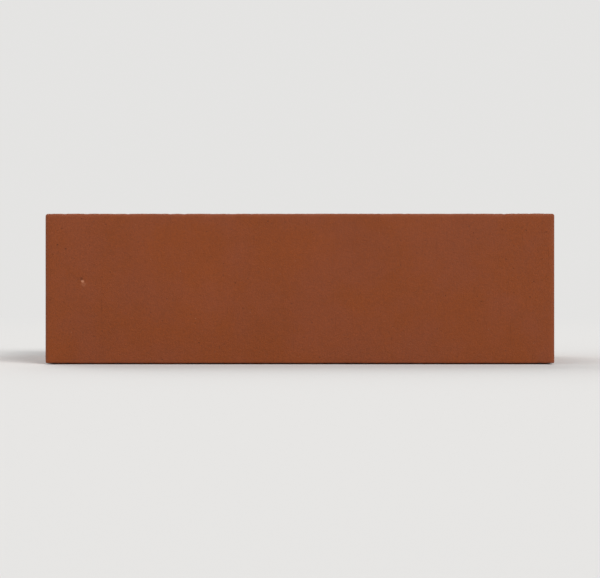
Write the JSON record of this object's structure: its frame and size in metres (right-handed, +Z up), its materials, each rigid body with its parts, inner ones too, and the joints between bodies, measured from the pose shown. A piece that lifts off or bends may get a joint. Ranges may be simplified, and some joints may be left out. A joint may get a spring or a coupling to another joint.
{
  "type": "clay brick",
  "caption": "Smooth red-brown clay facing brick, a crisp rectangular block with three staggered rows of slots through its height.",
  "frame": {"origin": "centre of the lower bed, the face that the brick rests on", "axes": "+X along the length, +Y from the long face that shows in a wall into the wall, +Z up through the height"},
  "size_m": [0.24, 0.115, 0.071],
  "materials": {
    "fired_clay": "matte"
  },
  "bodies": {
    "root": {"clay_brick": "fired_clay"}
  },
  "joints": []
}
